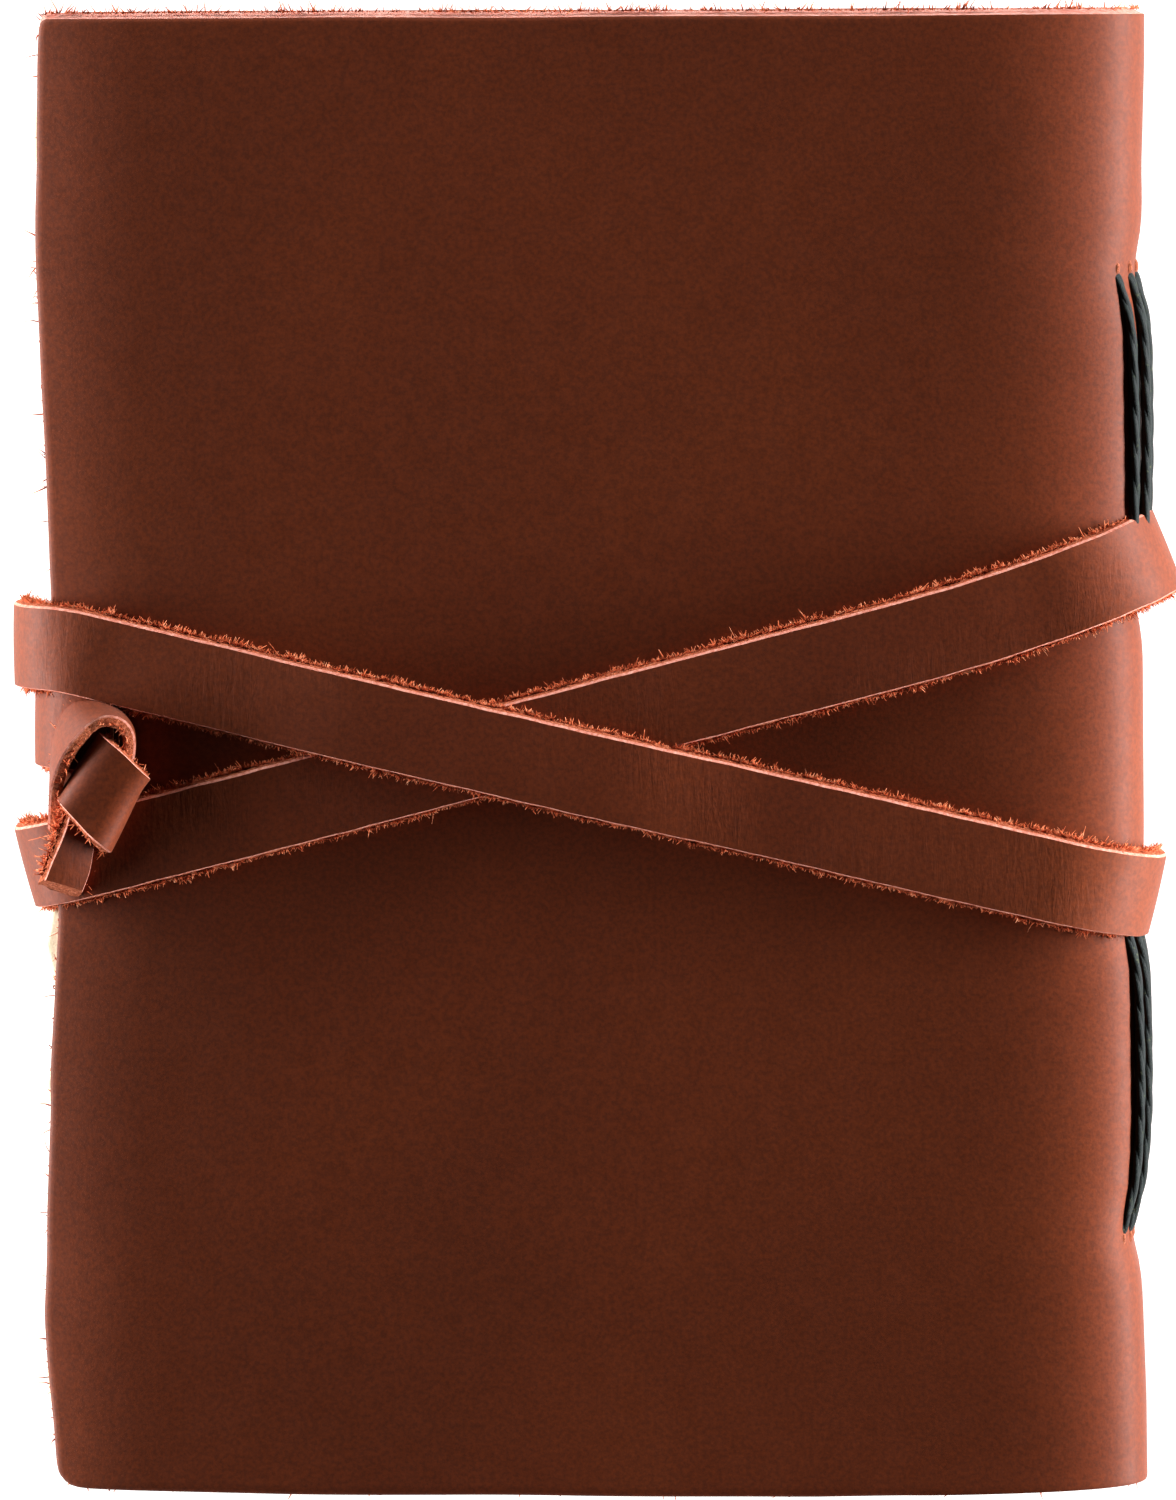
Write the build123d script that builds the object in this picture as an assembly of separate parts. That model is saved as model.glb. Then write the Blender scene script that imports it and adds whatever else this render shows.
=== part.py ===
"""A hand-bound leather journal: a soft hide cover sewn to six signatures of rag
paper and held shut by one long strap, wrapped round it and knotted.

Frame, millimetres: the journal lies on its back cover. +X runs from the fore-edge
to the spine, +Y from the tail to the head, +Z up through the covers. The origin is
under the middle of the whole, on the surface that the strap lies on.
"""

import os
from math import atan2, cos, degrees, pi, sin, sqrt

from build123d import *

# Cover, one hide 1.8 mm thick
COVER_LENGTH = 203.0
COVER_WIDTH = 150.0
LEATHER = 1.8
SPINE_BEND = 12.5        # outer radius of the bends between the spine and the covers
FORE_CORNER = 3.0        # rounding of the cover's corners at the fore-edge

# Text block
PAGE_LENGTH = 200.0
LEAF = 0.32              # one leaf of rag paper
LEAF_GAP = 0.02          # air between the nested folios
FOLD_GAP = 1.3           # inside the innermost fold, where the thread lies
FOLIOS = 4               # folded sheets in a signature
SIGNATURES_PER_HALF = 3
SIGNATURE_GAP = 0.04
FORE_EDGE_SETBACK = 0.8  # of the outermost folio from the cover's edge
FOLIO_CREEP = 0.3        # each folio further in stands out by this much

# Sewing
THREAD_RADIUS = 0.6
THREAD_BEND = 0.9
THREAD_LIFT = 0.65       # the thread's centre above the leather that it lies on
STATIONS = (66.0, 22.0, -22.0, -66.0)
THREAD_TAIL = 5.0        # past the end stations, inside the fold
SLOT_LENGTH = 3.2        # sewing slots, along the spine
SLOT_HEIGHT = 1.5
SLOT_MARGIN = 0.3        # how far a slot's cut reaches past the innermost fold

# Strap
STRAP_WIDTH = 11.5
STRAP = 1.8              # thickness
STRAP_CLEARANCE = 0.2    # over the covers, and over itself at the crossing
SPINE_STAND_OFF = 1.6    # between the spine and the inside of the strap's loops
FORE_STAND_OFF = 4.2     # between the cover's fore-edge and the inside of its loops
SPINE_LOOP_BEND = 11.0   # inner radii of the loops
FORE_LOOP_BEND = 4.0
PANEL_SPINE_X = 58.0     # the flat stretches run between these two lines
PANEL_FORE_X = -66.0
FORE_LOOP_HEAD_Y = 14.8
FORE_LOOP_MIDDLE_Y = 2.6
FORE_LOOP_TAIL_Y = -14.6
SPINE_LOOP_HEAD_Y = 24.6
SPINE_LOOP_TAIL_Y = -16.8
FIRST_END = (-20.0, -22.8)   # where the strap's first end lies, under the journal
CROSSING_RAMP = 9.0      # length of the upper stretch's slope on each side
CROSSING_MARGIN = 2.0    # how far its raised part reaches past the strap under it
KNOT_X = (-74.2, -61.8)
KNOT_Y = (-11.8, 6.8)
KNOT_STEP_Y = -7.0       # on the tail side of this the knot lies on the tail loop
KNOT_HEIGHT = 6.6
KNOT_ROUNDING = 2.4
TAIL_X = (-76.4, -69.6)
TAIL_END_Y = -19.6

HALF_CLEARANCE = 0.15    # each half of the journal from the plane where it opens
COVER_CLEARANCE = 0.15   # text block from the hide

# Derived heights, from the plane where the journal opens
SIGNATURE = FOLD_GAP + 2 * FOLIOS * LEAF + 2 * (FOLIOS - 1) * LEAF_GAP
BLOCK_HALF = HALF_CLEARANCE + SIGNATURES_PER_HALF * (SIGNATURE + SIGNATURE_GAP) - SIGNATURE_GAP
COVER_INNER = BLOCK_HALF + COVER_CLEARANCE
COVER_OUTER = COVER_INNER + LEATHER
STRAP_INNER = COVER_OUTER + STRAP_CLEARANCE
STRAP_OUTER = STRAP_INNER + STRAP
OPENING_Z = STRAP_OUTER              # height of the opening plane over the ground

COVER_EDGE = COVER_WIDTH / 2
BEND_X = COVER_EDGE - SPINE_BEND     # centre of the spine's bend
BEND_Z = COVER_OUTER - SPINE_BEND
SHIFT_X = (FORE_STAND_OFF - SPINE_STAND_OFF) / 2   # brings the origin under the middle
HINGE_X = COVER_EDGE + THREAD_LIFT + THREAD_RADIUS + 0.2


def at(x, z):
    """A point of a profile in the XZ plane."""
    return Vector(x, 0, z)


def extruded(edges, width):
    """The solid of a closed XZ profile, as wide along Y as given, about Y = 0."""
    return extrude(make_face(Wire(edges)), amount=width / 2, dir=(0, 1, 0), both=True)


def block(x, y, z):
    """A box between two values on each axis."""
    size = [high - low for low, high in (x, y, z)]
    middle = [(low + high) / 2 for low, high in (x, y, z)]
    return Pos(*middle) * Box(*size)


def corner(x, z, radius, side, start, end):
    """A quarter of a circle about (x, z), from one end point to the other."""
    middle = radius / sqrt(2)
    return ThreePointArc(start, at(x + side * middle, z + middle), end)


def signature_height(number):
    """Height of a signature's fold over the opening plane, 0 next to that plane."""
    return HALF_CLEARANCE + SIGNATURE / 2 + number * (SIGNATURE + SIGNATURE_GAP)


def fold_x(number):
    """Where a signature's folds lie, so that they follow the spine's bend."""
    reach = SPINE_BEND - LEATHER - COVER_CLEARANCE - SIGNATURE / 2
    rise = max(0.0, signature_height(number) - BEND_Z)
    return BEND_X + sqrt(max(0.0, reach**2 - rise**2))


def thread_x(number):
    """Where the outer stitches of a signature lie on the spine."""
    reach = SPINE_BEND + THREAD_LIFT
    rise = max(0.0, signature_height(number) - BEND_Z)
    return BEND_X + sqrt(reach**2 - rise**2)


def slots(number):
    """The sewing slots of one signature, through its folds and the hide."""
    through = (fold_x(number) - SLOT_MARGIN, COVER_EDGE + LEATHER)
    z = signature_height(number)
    height = (z - SLOT_HEIGHT / 2, z + SLOT_HEIGHT / 2)
    return Compound([block(through, (y - SLOT_LENGTH / 2, y + SLOT_LENGTH / 2), height) for y in STATIONS])


def cover_half():
    """The front half of the hide: one cover, the spine's bend and half the spine."""
    inner = SPINE_BEND - LEATHER
    edges = [
        Line(at(-COVER_EDGE, COVER_OUTER), at(BEND_X, COVER_OUTER)),
        corner(BEND_X, BEND_Z, SPINE_BEND, 1, at(BEND_X, COVER_OUTER), at(COVER_EDGE, BEND_Z)),
        Line(at(COVER_EDGE, BEND_Z), at(COVER_EDGE, HALF_CLEARANCE)),
        Line(at(COVER_EDGE, HALF_CLEARANCE), at(COVER_EDGE - LEATHER, HALF_CLEARANCE)),
        Line(at(COVER_EDGE - LEATHER, HALF_CLEARANCE), at(COVER_EDGE - LEATHER, BEND_Z)),
        corner(BEND_X, BEND_Z, inner, 1, at(COVER_EDGE - LEATHER, BEND_Z), at(BEND_X, COVER_INNER)),
        Line(at(BEND_X, COVER_INNER), at(-COVER_EDGE, COVER_INNER)),
        Line(at(-COVER_EDGE, COVER_INNER), at(-COVER_EDGE, COVER_OUTER)),
    ]
    hide = extruded(edges, COVER_LENGTH)
    fore_corners = hide.edges().filter_by(Axis.Z).group_by(Axis.X)[0]
    hide = fillet(fore_corners, FORE_CORNER)
    for number in range(SIGNATURES_PER_HALF):
        hide = hide - slots(number)
    return hide


def folio(number, depth):
    """One folded sheet of a signature; depth 0 is the innermost."""
    x, z = fold_x(number), signature_height(number)
    inner = FOLD_GAP / 2 + depth * (LEAF + LEAF_GAP)
    outer = inner + LEAF
    edge = -COVER_EDGE + FORE_EDGE_SETBACK - (FOLIOS - 1 - depth) * FOLIO_CREEP
    edges = [
        Line(at(edge, z + inner), at(x, z + inner)),
        ThreePointArc(at(x, z + inner), at(x + inner, z), at(x, z - inner)),
        Line(at(x, z - inner), at(edge, z - inner)),
        Line(at(edge, z - inner), at(edge, z - outer)),
        Line(at(edge, z - outer), at(x, z - outer)),
        ThreePointArc(at(x, z - outer), at(x + outer, z), at(x, z + outer)),
        Line(at(x, z + outer), at(edge, z + outer)),
        Line(at(edge, z + outer), at(edge, z + inner)),
    ]
    return extruded(edges, PAGE_LENGTH) - slots(number)


def stitches(number):
    """The thread of one signature: out at one station, along the spine, in at the next."""
    inside, outside, z = fold_x(number) - 0.1, thread_x(number), signature_height(number)
    first, second, third, fourth = STATIONS
    route = [
        (inside, first + THREAD_TAIL, z),
        (inside, first, z),
        (outside, first, z),
        (outside, second, z),
        (inside, second, z),
        (inside, third, z),
        (outside, third, z),
        (outside, fourth, z),
        (inside, fourth, z),
        (inside, fourth - THREAD_TAIL, z),
    ]
    path = FilletPolyline(*route, radius=THREAD_BEND)
    start = Plane(origin=route[0], z_dir=(0, -1, 0))
    thread = sweep(start * Circle(THREAD_RADIUS), path=path)
    ratio = thread.volume / (path.length * pi * THREAD_RADIUS**2)
    print(f"thread {number}: {path.length:.1f} mm long, volume over section times length {ratio:.4f}")
    return thread


def loop(side, centre_y, bend, front_end=None):
    """A turn of the strap round the spine (side 1) or the fore-edge (side -1)."""
    back_x = PANEL_SPINE_X if side > 0 else PANEL_FORE_X
    front_x = back_x if front_end is None else side * front_end
    outer_bend = bend + STRAP
    reach = COVER_EDGE + (SPINE_STAND_OFF if side > 0 else FORE_STAND_OFF)
    x_in, x_out = side * reach, side * (reach + STRAP)
    centre = side * (reach - bend)
    height = STRAP_INNER - bend
    step_in, step_out = bend / sqrt(2), outer_bend / sqrt(2)
    mid_in, mid_out = centre + side * step_in, centre + side * step_out
    edges = [
        Line(at(front_x, STRAP_INNER), at(centre, STRAP_INNER)),
        ThreePointArc(at(centre, STRAP_INNER), at(mid_in, height + step_in), at(x_in, height)),
        Line(at(x_in, height), at(x_in, -height)),
        ThreePointArc(at(x_in, -height), at(mid_in, -height - step_in), at(centre, -STRAP_INNER)),
        Line(at(centre, -STRAP_INNER), at(back_x, -STRAP_INNER)),
        Line(at(back_x, -STRAP_INNER), at(back_x, -STRAP_OUTER)),
        Line(at(back_x, -STRAP_OUTER), at(centre, -STRAP_OUTER)),
        ThreePointArc(at(centre, -STRAP_OUTER), at(mid_out, -height - step_out), at(x_out, -height)),
        Line(at(x_out, -height), at(x_out, height)),
        ThreePointArc(at(x_out, height), at(mid_out, height + step_out), at(centre, STRAP_OUTER)),
        Line(at(centre, STRAP_OUTER), at(front_x, STRAP_OUTER)),
        Line(at(front_x, STRAP_OUTER), at(front_x, STRAP_INNER)),
    ]
    return Pos(0, centre_y, 0) * extruded(edges, STRAP_WIDTH)


def stretch(start, end, low, rise=0.0, crossing=None):
    """A straight run of the strap between two points in plan, cut square to X.

    With a rise it climbs over another run where the two cross.
    """
    dx, dy = end[0] - start[0], end[1] - start[1]
    length, angle = sqrt(dx * dx + dy * dy), degrees(atan2(dy, dx))
    spare = STRAP_WIDTH
    if crossing is None:
        line = [(-spare, 0), (length + spare, 0)]
    else:
        along, half = crossing
        line = [
            (-spare, 0),
            (along - half - CROSSING_RAMP, 0),
            (along - half, rise),
            (along + half, rise),
            (along + half + CROSSING_RAMP, 0),
            (length + spare, 0),
        ]
    under = [at(s, low + z) for s, z in line]
    over = [at(s, low + z + STRAP) for s, z in reversed(line)]
    run = extruded(Polyline(*under, *over, close=True).edges(), STRAP_WIDTH)
    run = Pos(start[0], start[1], 0) * Rot(0, 0, angle) * run
    ends = sorted((start[0], end[0]))
    return run & block(ends, (-COVER_EDGE, COVER_EDGE), (low - STRAP, low + rise + 2 * STRAP))


def strap_pieces():
    """Every stretch of the strap, from its first end to the one past the knot."""
    under = ((PANEL_FORE_X, FORE_LOOP_TAIL_Y), (PANEL_SPINE_X, SPINE_LOOP_HEAD_Y))
    over = ((PANEL_FORE_X, FORE_LOOP_HEAD_Y), (PANEL_SPINE_X, SPINE_LOOP_TAIL_Y))
    span = PANEL_SPINE_X - PANEL_FORE_X
    slope_under = (under[1][1] - under[0][1]) / span
    slope_over = (over[1][1] - over[0][1]) / span
    share = (over[0][1] - under[0][1]) / (slope_under - slope_over)
    slant = sqrt(1 + slope_over**2)
    between = atan2(slope_under, 1) - atan2(slope_over, 1)
    half_crossing = STRAP_WIDTH / 2 * (1 + cos(between)) / sin(between) + CROSSING_MARGIN
    rise = STRAP + STRAP_CLEARANCE
    back = -STRAP_OUTER
    knot_low = block(KNOT_X, (KNOT_STEP_Y, KNOT_Y[1]), (STRAP_INNER, STRAP_INNER + KNOT_HEIGHT))
    knot_high = block(KNOT_X, KNOT_Y, (STRAP_INNER + rise, STRAP_INNER + KNOT_HEIGHT))
    knot = knot_low + knot_high
    knot = fillet(knot.edges().group_by(Axis.Z)[-1], KNOT_ROUNDING)
    tail = block(TAIL_X, (TAIL_END_Y, KNOT_Y[0]), (STRAP_INNER + rise, STRAP_OUTER + rise))
    return {
        "strap_first_end": stretch((PANEL_FORE_X, FORE_LOOP_TAIL_Y), FIRST_END, back),
        "strap_fore_loop_tail": loop(-1, FORE_LOOP_TAIL_Y, FORE_LOOP_BEND),
        "strap_front_under": stretch(*under, STRAP_INNER),
        "strap_spine_loop_head": loop(1, SPINE_LOOP_HEAD_Y, SPINE_LOOP_BEND),
        "strap_back_head": stretch(
            (PANEL_FORE_X, FORE_LOOP_HEAD_Y), (PANEL_SPINE_X, SPINE_LOOP_HEAD_Y), back
        ),
        "strap_fore_loop_head": loop(-1, FORE_LOOP_HEAD_Y, FORE_LOOP_BEND),
        "strap_front_over": stretch(*over, STRAP_INNER, rise, (share * slant, half_crossing)),
        "strap_spine_loop_tail": loop(1, SPINE_LOOP_TAIL_Y, SPINE_LOOP_BEND),
        "strap_back_tail": stretch(
            (PANEL_FORE_X, FORE_LOOP_MIDDLE_Y), (PANEL_SPINE_X, SPINE_LOOP_TAIL_Y), back
        ),
        "strap_fore_loop_middle": loop(-1, FORE_LOOP_MIDDLE_Y, FORE_LOOP_BEND, front_end=-KNOT_X[0]),
        "strap_knot": knot,
        "strap_last_end": tail,
    }


def pieces():
    """Every node's shape about the opening plane; the back half mirrors the front one."""
    made = {"cover_front_half": cover_half()}
    for number in range(SIGNATURES_PER_HALF):
        place = SIGNATURES_PER_HALF - number
        for depth in range(FOLIOS):
            made[f"signature_{place}_folio_{FOLIOS - depth}"] = folio(number, depth)
        made[f"sewing_thread_{place}"] = stitches(number)
    mirrored = {"cover_back_half": mirror(made["cover_front_half"], Plane.XY)}
    for number in range(SIGNATURES_PER_HALF):
        front, place = SIGNATURES_PER_HALF - number, SIGNATURES_PER_HALF + 1 + number
        for depth in range(1, FOLIOS + 1):
            mirrored[f"signature_{place}_folio_{depth}"] = mirror(
                made[f"signature_{front}_folio_{depth}"], Plane.XY
            )
        mirrored[f"sewing_thread_{place}"] = mirror(made[f"sewing_thread_{front}"], Plane.XY)
    return {**made, **mirrored, **strap_pieces()}


os.makedirs("parts", exist_ok=True)
for name, shape in pieces().items():
    export_step(Pos(SHIFT_X, 0, OPENING_Z) * shape, f"parts/{name}.step")
print(f"hinge axis at x {HINGE_X + SHIFT_X:.3f}, z {OPENING_Z:.3f}; closed thickness {2 * COVER_OUTER:.2f}")
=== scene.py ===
"""A soft leather journal with a wrapped strap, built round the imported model.

Lengths in this script are millimetres about the middle of the closed cover: x from the
fore-edge to the spine, y from tail to head, z up from the plane where the journal opens.
place() turns them into the frame's metres.
"""

import math

import bpy
import numpy as np
from mathutils import Matrix, Vector, noise


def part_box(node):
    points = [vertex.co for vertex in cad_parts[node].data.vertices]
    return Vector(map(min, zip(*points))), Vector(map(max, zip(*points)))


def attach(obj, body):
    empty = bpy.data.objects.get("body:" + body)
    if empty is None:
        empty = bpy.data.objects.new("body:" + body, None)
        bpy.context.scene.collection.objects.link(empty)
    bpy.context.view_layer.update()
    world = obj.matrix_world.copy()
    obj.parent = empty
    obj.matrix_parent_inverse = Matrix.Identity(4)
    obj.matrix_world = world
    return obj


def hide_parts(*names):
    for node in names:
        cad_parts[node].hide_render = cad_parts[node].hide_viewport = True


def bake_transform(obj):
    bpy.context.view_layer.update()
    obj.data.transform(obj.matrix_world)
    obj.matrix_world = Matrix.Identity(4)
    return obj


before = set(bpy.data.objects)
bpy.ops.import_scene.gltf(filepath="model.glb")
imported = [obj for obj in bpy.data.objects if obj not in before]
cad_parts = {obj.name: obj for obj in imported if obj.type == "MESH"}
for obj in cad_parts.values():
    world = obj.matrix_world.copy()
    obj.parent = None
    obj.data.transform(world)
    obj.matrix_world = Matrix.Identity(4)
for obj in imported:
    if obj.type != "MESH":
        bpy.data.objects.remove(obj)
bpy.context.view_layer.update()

# ---------------- driving values

MM = 0.001
COVER_LOW, COVER_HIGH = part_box("cover_front_half")
BACK_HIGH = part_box("cover_back_half")[1]
MIDDLE = Vector(
    (
        (COVER_LOW[0] + COVER_HIGH[0]) / 2,
        (COVER_LOW[1] + COVER_HIGH[1]) / 2,
        (COVER_LOW[2] + BACK_HIGH[2]) / 2,
    )
)
HALF_WIDTH = (COVER_HIGH[0] - COVER_LOW[0]) / 2 / MM
HALF_LENGTH = (COVER_HIGH[1] - COVER_LOW[1]) / 2 / MM
COVER_TOP = (COVER_HIGH[2] - MIDDLE[2]) / MM
LEATHER = 1.8
PAGES_TOP = COVER_TOP - LEATHER
SPINE_START = 42.0  # the cover begins to slope down to the spine here
SPINE_REACH = HALF_WIDTH - SPINE_START
FOLDS_X = 64.5  # the outermost signature's fold ends here
STATIONS = (66.0, 22.0, -22.0, -66.0)
SIGNATURES = 6
FOLIOS = 4

STRAP_WIDTH = 11.5
STRAP = 1.8

EYE = (72.0, 105.0, 1084.0)  # the camera

GRAIN, FLESH, EDGE, RIM = 0, 1, 2, 3  # material places on every leather piece


def place(points):
    """Millimetres about the closed cover's middle to the frame's metres."""
    return np.asarray(points, float) * MM + np.array(MIDDLE)


def smooth(t):
    """0 to 1 with soft ends."""
    t = min(1.0, max(0.0, t))
    return t * t * (3 - 2 * t)


def mix(a, b, t):
    return a + (b - a) * t


def unit(v):
    v = np.asarray(v, float)
    return v / max(1e-9, np.linalg.norm(v))


def rough(x, y, z, scale, seed=0.0):
    """Smooth random value from -1 to 1, the same at the same place."""
    return noise.noise(Vector((x * scale + seed, y * scale - seed, z * scale + 2 * seed)))


def spine_power(y):
    """How square the spine's bend is: tighter towards the tail."""
    return mix(4.0, 3.0, smooth((y + 100) / 190))


def spine_height(x, y):
    """Height and slope of the cover's outer face above the opening plane, from its start to the spine."""
    power = spine_power(y)
    share = max(0.0, (x - SPINE_START) / SPINE_REACH)
    level = (1 - min(0.999, share) ** power) ** (1 / power)
    slope = (share / level) ** (power - 1) * COVER_TOP / SPINE_REACH
    return COVER_TOP * level, slope


def pinch(x, y):
    """How far the leather and pages draw in towards the opening plane, as a share kept."""
    near_edge = smooth((-46 - x) / 30)
    under_strap = math.exp(-((y / 34) ** 2))
    lip = max(0.0, (-62 - x) / 14) ** 2
    keep = 1 - near_edge * (0.02 + 0.075 * under_strap) - 0.13 * min(1.2, lip)
    if x > SPINE_START:
        height, slope = spine_height(min(x, FOLDS_X), y)
        keep = (height - LEATHER * math.sqrt(1 + slope * slope)) / PAGES_TOP
    return keep


def seen(x, y, height):
    """A point that high over the cover, placed so that the camera sees it over (x, y) of the cover's face."""
    share = (EYE[2] - COVER_TOP - height) / (EYE[2] - COVER_TOP)
    return EYE[0] + (x + 0.3 - EYE[0]) * share, EYE[1] + (y + 1.25 - EYE[1]) * share


def make_mesh(name, verts, faces, materials, places=None):
    """A mesh object from millimetre points, with its rest position kept for its material."""
    mesh = bpy.data.meshes.new(name)
    mesh.from_pydata([tuple(v) for v in place(verts)], [], faces)
    for material in materials:
        mesh.materials.append(material)
    if places is not None:
        mesh.polygons.foreach_set("material_index", np.array(places, np.int32))
    mesh.polygons.foreach_set("use_smooth", np.full(len(faces), True))
    if places is not None:
        beside = {}
        for polygon in mesh.polygons:
            for key in polygon.edge_keys:
                beside.setdefault(key, set()).add(polygon.material_index)
        sharp = [len(beside.get(tuple(edge.vertices), ())) > 1 for edge in mesh.edges]
        mesh.edges.foreach_set("use_edge_sharp", sharp)
    rest = mesh.attributes.new("rest", "FLOAT_VECTOR", "POINT")
    rest.data.foreach_set("vector", np.asarray(verts, np.float32).ravel())
    mesh.update()
    mesh.validate()
    piece = bpy.data.objects.new(name, mesh)
    bpy.context.scene.collection.objects.link(piece)
    return piece


# ---------------- materials


class Nodes:
    """Short calls for building one material."""

    def __init__(self, name):
        self.material = bpy.data.materials.new(name)
        self.material.use_nodes = True
        self.tree = self.material.node_tree
        self.tree.nodes.clear()
        output = self.tree.nodes.new("ShaderNodeOutputMaterial")
        self.shader = self.tree.nodes.new("ShaderNodeBsdfPrincipled")
        self.tree.links.new(self.shader.outputs[0], output.inputs[0])
        rest = self.tree.nodes.new("ShaderNodeAttribute")
        rest.attribute_name = "rest"
        self.rest = rest.outputs["Vector"]

    def link(self, source, target):
        self.tree.links.new(source, target)

    def stretch(self, scale):
        """The rest position, scaled by (x, y, z)."""
        node = self.tree.nodes.new("ShaderNodeVectorMath")
        node.operation = "MULTIPLY"
        self.link(self.rest, node.inputs[0])
        node.inputs[1].default_value = scale
        return node.outputs[0]

    def noise(self, scale, detail=2.0, roughness=0.5, vector=None, distortion=0.0):
        node = self.tree.nodes.new("ShaderNodeTexNoise")
        self.link(self.rest if vector is None else vector, node.inputs["Vector"])
        node.inputs["Scale"].default_value = scale
        node.inputs["Detail"].default_value = detail
        node.inputs["Roughness"].default_value = roughness
        node.inputs["Distortion"].default_value = distortion
        return node.outputs["Fac"]

    def cells(self, scale):
        node = self.tree.nodes.new("ShaderNodeTexVoronoi")
        self.link(self.rest, node.inputs["Vector"])
        node.inputs["Scale"].default_value = scale
        return node.outputs["Distance"]

    def ramp(self, value, stops):
        """Colours or greys along a value; stops are (position, value)."""
        node = self.tree.nodes.new("ShaderNodeValToRGB")
        self.link(value, node.inputs["Fac"])
        elements = node.color_ramp.elements
        while len(elements) < len(stops):
            elements.new(0.5)
        for element, (position, colour) in zip(elements, stops):
            element.position = position
            grey = isinstance(colour, (int, float))
            element.color = (colour, colour, colour, 1) if grey else (*colour, 1)
        return node.outputs["Color"]

    def blend(self, factor, a, b, mode="MIX"):
        node = self.tree.nodes.new("ShaderNodeMix")
        node.data_type = "RGBA"
        node.blend_type = mode
        for value, socket in ((factor, node.inputs[0]), (a, node.inputs[6]), (b, node.inputs[7])):
            if isinstance(value, (int, float)):
                socket.default_value = value
            elif isinstance(value, tuple):
                socket.default_value = (*value, 1)
            else:
                self.link(value, socket)
        return node.outputs[2]

    def math(self, operation, a, b=0.0):
        node = self.tree.nodes.new("ShaderNodeMath")
        node.operation = operation
        for value, socket in ((a, node.inputs[0]), (b, node.inputs[1])):
            if isinstance(value, (int, float)):
                socket.default_value = value
            else:
                self.link(value, socket)
        return node.outputs[0]

    def bump(self, height, distance, strength=1.0, below=None):
        """Relief of that many metres between height 0 and 1."""
        node = self.tree.nodes.new("ShaderNodeBump")
        node.inputs["Strength"].default_value = strength
        node.inputs["Distance"].default_value = distance
        self.link(height, node.inputs["Height"])
        if below is not None:
            self.link(below, node.inputs["Normal"])
        return node.outputs["Normal"]

    def finish(self, colour=None, roughness=None, normal=None, **fixed):
        inputs = self.shader.inputs
        for value, socket in ((colour, "Base Color"), (roughness, "Roughness"), (normal, "Normal")):
            if value is None:
                continue
            if isinstance(value, (int, float)):
                inputs[socket].default_value = value
            elif isinstance(value, tuple):
                inputs[socket].default_value = (*value, 1)
            else:
                self.link(value, inputs[socket])
        for socket, value in fixed.items():
            inputs[socket.replace("_", " ")].default_value = value
        return self.material


def srgb(*values):
    """A colour as it looks, from 0 to 255, in linear light."""
    return tuple((v / 255 / 12.92) if v <= 10 else ((v / 255 + 0.055) / 1.055) ** 2.4 for v in values)


def grain_leather(name, dark, middle, light, creases=0.0):
    """Smooth pull-up leather: faintly clouded colour, fine pores, soft creases and a few scuffs."""
    n = Nodes(name)
    clouds = n.noise(0.02, 5.0, 0.55, distortion=0.4)
    mottle = n.noise(0.3, 4.0, 0.6)
    colour = n.ramp(clouds, [(0.36, dark), (0.52, middle), (0.68, light)])
    shade = n.ramp(mottle, [(0.3, 0.93), (0.7, 1.0)])
    colour = n.blend(1.0, colour, shade, "MULTIPLY")
    pores = n.cells(2.4)
    speckle = n.ramp(n.noise(1.5, 3.0, 0.7), [(0.36, 0.74), (0.64, 1.14)])
    colour = n.blend(1.0, colour, speckle, "MULTIPLY")
    marks = n.ramp(n.noise(0.11, 8.0, 0.75, distortion=0.2), [(0.72, 0.0), (0.76, 1.0)])
    colour = n.blend(n.math("MULTIPLY", marks, 0.22), colour, srgb(170, 112, 84))
    height = n.math("ADD", n.math("MULTIPLY", pores, 0.5), n.noise(1.3, 4.0, 0.7))
    fine = n.bump(height, 0.00002, 0.7)
    soft = n.bump(n.noise(0.05, 2.0, 0.4), 0.0006, 0.3, below=fine)
    if creases:
        lines = n.noise(1.0, 4.0, 0.7, vector=n.stretch((1.15, 0.22, 0.3)), distortion=0.6)
        where = n.ramp(n.noise(0.05, 1.0), [(0.42, 0.0), (0.6, 1.0)])
        soft = n.bump(n.math("MULTIPLY", lines, where), 0.0003, creases, below=soft)
    gloss = n.ramp(mottle, [(0.25, 0.52), (0.75, 0.62)])
    return n.finish(colour, gloss, soft, Specular_IOR_Level=0.24, Sheen_Weight=0.06)


def flesh_leather():
    """The suede side of the hide."""
    n = Nodes("leather_flesh")
    nap = n.noise(1.6, 6.0, 0.75)
    dark, middle, pale = srgb(110, 48, 26), srgb(164, 84, 50), srgb(204, 124, 84)
    colour = n.ramp(nap, [(0.3, dark), (0.55, middle), (0.75, pale)])
    return n.finish(colour, 0.92, n.bump(nap, 0.0005, 0.8), Specular_IOR_Level=0.2, Sheen_Weight=0.2)


def edge_leather():
    """A raw cut edge: orange fibres over the darker core."""
    n = Nodes("leather_edge")
    fibres = n.noise(2.2, 6.0, 0.8)
    core, middle, pale = srgb(120, 46, 24), srgb(205, 104, 66), srgb(244, 162, 124)
    colour = n.ramp(fibres, [(0.34, core), (0.5, middle), (0.68, pale)])
    return n.finish(colour, 0.9, n.bump(fibres, 0.0005, 1.0), Specular_IOR_Level=0.2)


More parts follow.
